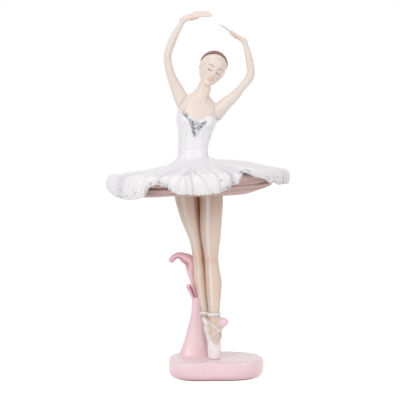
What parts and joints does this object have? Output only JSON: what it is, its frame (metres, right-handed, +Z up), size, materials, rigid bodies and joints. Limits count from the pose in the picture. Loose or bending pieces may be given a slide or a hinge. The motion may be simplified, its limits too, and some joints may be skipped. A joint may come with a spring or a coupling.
{
  "type": "ballerina figurine",
  "caption": "Standing ballerina figurine in a white tutu, arms raised overhead, en pointe on a pink base with a curled plume support.",
  "frame": {"origin": "centre of the base's outline, on the flat rest face under the pad", "axes": "+Z up along the standing figure, -Y towards the viewer whom the figure faces, +X towards the figure's left hand"},
  "size_m": [0.151, 0.151, 0.2981],
  "materials": {
    "pink_paint": "satin pink paint over a cast body",
    "pad": "short-pile felt",
    "shoe_paint": "satin pinkish white paint",
    "skin_paint": "satin flesh paint with airbrushed shading",
    "white_paint": "matt to satin white paint",
    "underskirt_paint": "matt dusky pink wash",
    "lace_paint": "matt white, grained as lace",
    "silver_glitter": "silver glitter set in varnish",
    "hair_paint": "satin reddish brown paint",
    "steel_pin": "drawn wire"
  },
  "bodies": {
    "root": {"base": "pink_paint", "base_pad": "pad", "support_stem": "pink_paint", "short_plume": "pink_paint", "tall_plume": "pink_paint", "support_pin": "steel_pin", "left_shoe": "shoe_paint", "right_shoe": "shoe_paint", "left_leg": "skin_paint", "right_leg": "skin_paint", "left_ribbons": "shoe_paint", "right_ribbons": "shoe_paint", "left_leg_rod": "steel_pin", "right_leg_rod": "steel_pin", "left_hip_pin": "steel_pin", "right_hip_pin": "steel_pin", "pelvis": "white_paint", "petticoat": "underskirt_paint", "middle_skirt": "underskirt_paint", "overskirt": "white_paint", "hem_lace": "lace_paint", "waist_rod": "steel_pin", "bodice": "white_paint", "chest": "skin_paint", "neckline_trim": "silver_glitter", "left_strap": "white_paint", "right_strap": "white_paint", "left_arm": "skin_paint", "right_arm": "skin_paint", "left_shoulder_pin": "steel_pin", "right_shoulder_pin": "steel_pin", "neck_pin": "steel_pin", "head": "skin_paint", "hair": "hair_paint", "hair_bun": "hair_paint"}
  },
  "joints": []
}
